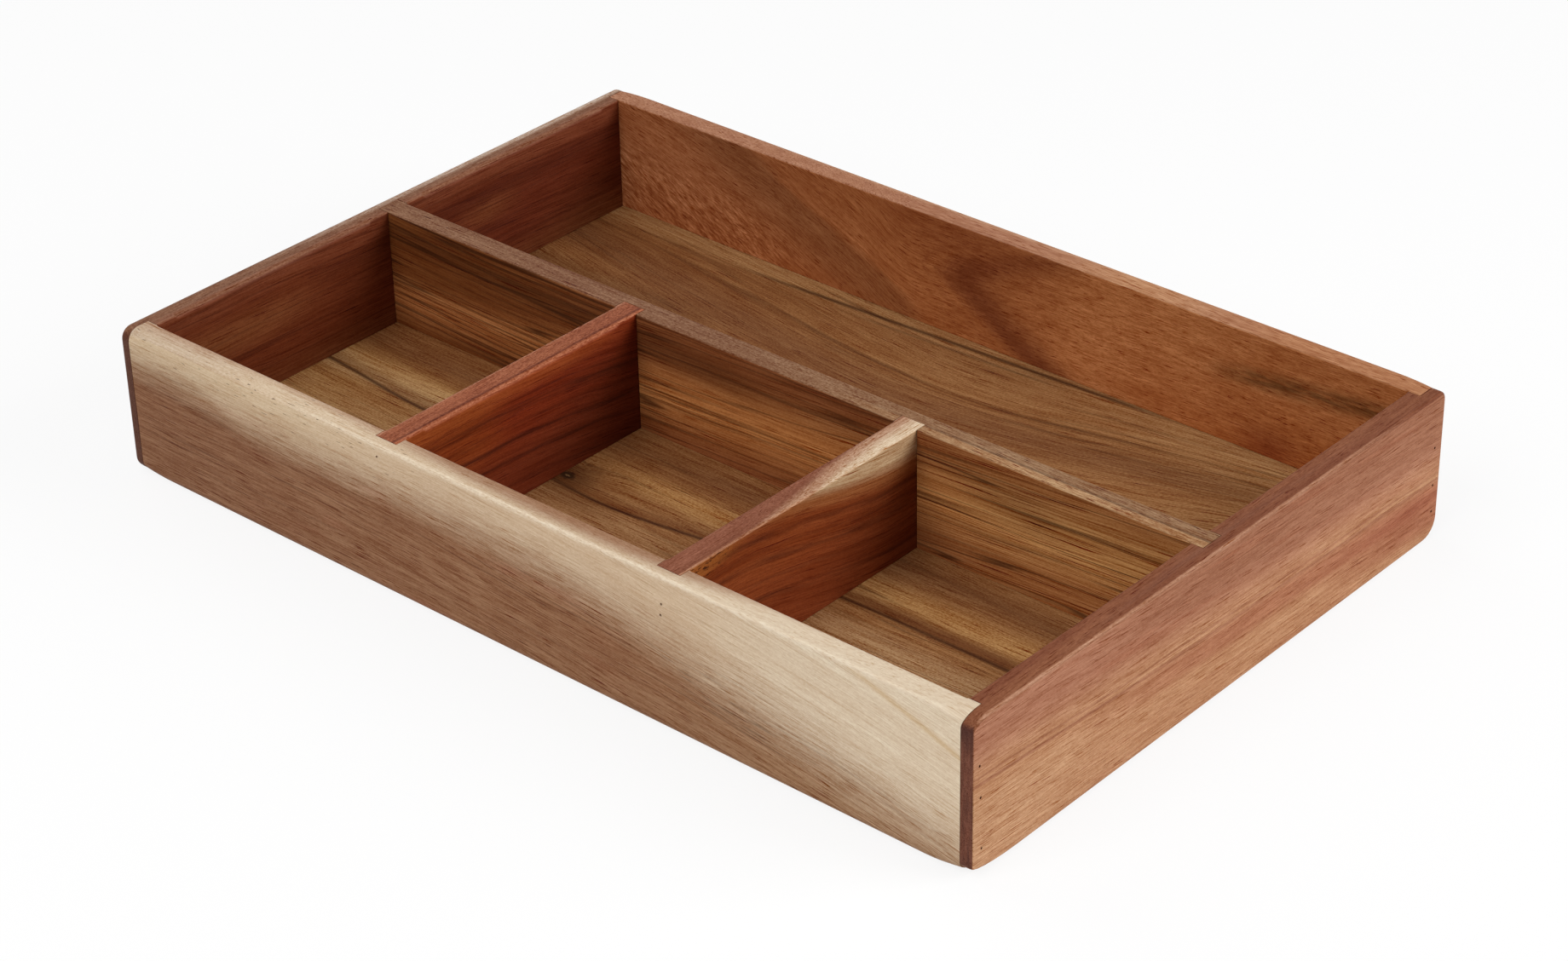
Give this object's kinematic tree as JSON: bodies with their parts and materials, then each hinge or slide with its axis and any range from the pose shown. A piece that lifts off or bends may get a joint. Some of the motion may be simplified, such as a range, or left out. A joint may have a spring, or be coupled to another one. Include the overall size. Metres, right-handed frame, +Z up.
{
  "type": "drawer organizer",
  "caption": "Low rectangular wooden tray with a long compartment behind a row of short ones, for sorting small things in a drawer or on a desk.",
  "frame": {"origin": "under the middle of the tray, on the surface that its walls stand on", "axes": "+X along the front wall to the right, +Y from the front wall to the back wall, +Z up"},
  "size_m": [0.381, 0.254, 0.0571],
  "materials": {
    "front_board": "oiled acacia, satin",
    "back_board": "oiled acacia, satin",
    "left_side": "oiled acacia, satin",
    "right_side": "oiled acacia, satin",
    "long_divider": "oiled acacia, satin",
    "short_divider_left": "oiled acacia, satin",
    "short_divider_right": "oiled acacia, satin",
    "bottom_panel": "oiled acacia, satin",
    "brad_steel": "plain wire, set below the wood"
  },
  "bodies": {
    "root": {"front_board": "front_board", "back_board": "back_board", "left_side": "left_side", "right_side": "right_side", "long_divider": "long_divider", "short_divider_left": "short_divider_left", "short_divider_right": "short_divider_right", "bottom_panel": "bottom_panel", "brad_front_left_1": "brad_steel", "brad_front_left_2": "brad_steel", "brad_front_left_3": "brad_steel", "brad_rear_left_1": "brad_steel", "brad_rear_left_2": "brad_steel", "brad_rear_left_3": "brad_steel", "brad_front_right_1": "brad_steel", "brad_front_right_2": "brad_steel", "brad_front_right_3": "brad_steel", "brad_rear_right_1": "brad_steel", "brad_rear_right_2": "brad_steel", "brad_rear_right_3": "brad_steel", "brad_divider_left_1": "brad_steel", "brad_divider_right_1": "brad_steel", "brad_divider_right_2": "brad_steel"}
  },
  "joints": []
}
